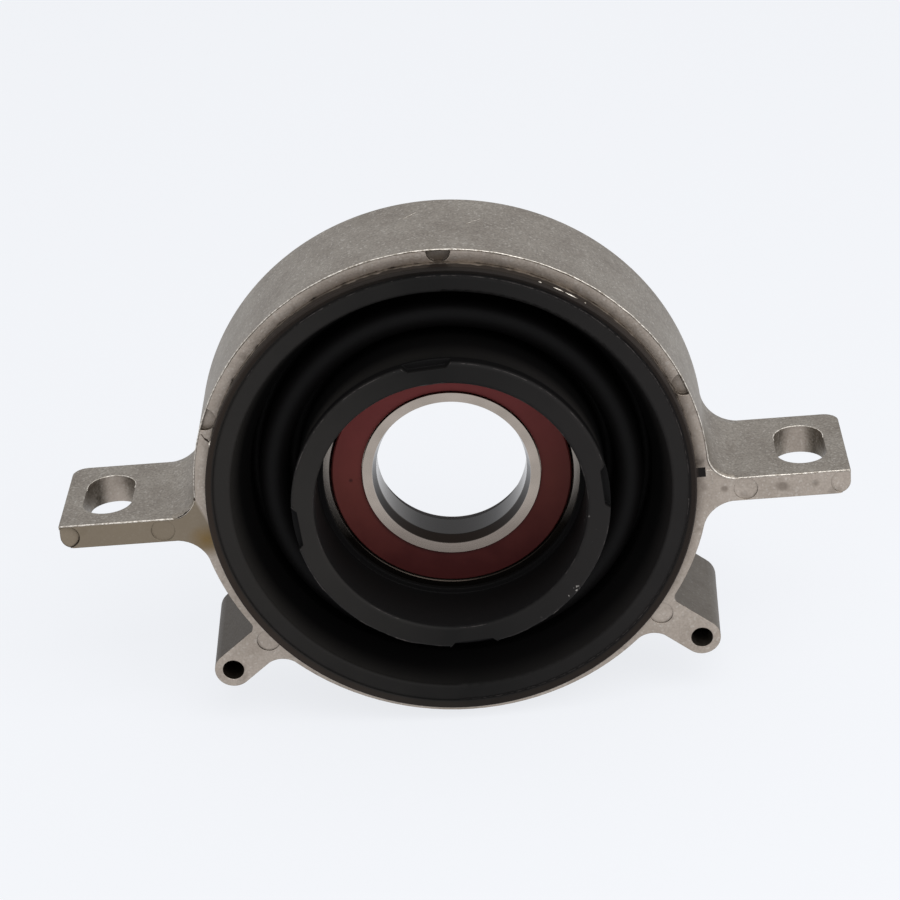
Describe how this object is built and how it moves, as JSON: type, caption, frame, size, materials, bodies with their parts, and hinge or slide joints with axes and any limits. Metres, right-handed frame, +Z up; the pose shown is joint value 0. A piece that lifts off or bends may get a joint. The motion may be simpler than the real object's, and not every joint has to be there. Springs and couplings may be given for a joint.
{
  "type": "driveshaft centre bearing",
  "caption": "Sealed ball bearing for a driveshaft, held by a rubber bellows in a die-cast ring bracket with slotted ears and screw lugs.",
  "frame": {"origin": "middle of the bearing, on the shaft's axis", "axes": "+Y along the shaft from the open front to the back, +X along the ears, +Z up towards the vehicle's floor"},
  "size_m": [0.1824, 0.0401, 0.1188],
  "materials": {
    "cast_aluminium": "tumbled die casting, fine sparkling grain",
    "steel_sleeve": "drawn steel tube",
    "black_rubber": "moulded black rubber, dusty",
    "bearing_steel": "ground bearing steel",
    "seal_rubber": "moulded red-brown nitrile rubber",
    "cage_steel": "pressed steel strip",
    "ball_steel": "polished bearing steel"
  },
  "bodies": {
    "housing": {"bracket": "cast_aluminium", "outer_sleeve": "steel_sleeve", "rubber_bellows": "black_rubber", "bearing_sleeve": "steel_sleeve", "outer_ring": "bearing_steel", "front_seal": "seal_rubber", "rear_seal": "seal_rubber"},
    "inner_race": {"inner_ring": "bearing_steel"},
    "ball_set": {"front_cage_half": "cage_steel", "rear_cage_half": "cage_steel", "cage_rivets": "cage_steel", "ball_01": "ball_steel", "ball_02": "ball_steel", "ball_03": "ball_steel", "ball_04": "ball_steel", "ball_05": "ball_steel", "ball_06": "ball_steel", "ball_07": "ball_steel", "ball_08": "ball_steel", "ball_09": "ball_steel", "ball_10": "ball_steel", "ball_11": "ball_steel"}
  },
  "joints": [
    {"name": "inner_ring_spin", "type": "hinge", "parent": "housing", "child": "inner_race", "pos_m": [0, 0, 0], "axis": [0, 1, 0], "continuous": true},
    {"name": "ball_set_spin", "type": "hinge", "parent": "housing", "child": "ball_set", "pos_m": [0, 0, 0], "axis": [0, 1, 0], "continuous": true}
  ],
  "couplings": [
    {"joint": "ball_set_spin", "follows": "inner_ring_spin", "ratio": 0.4179}
  ]
}
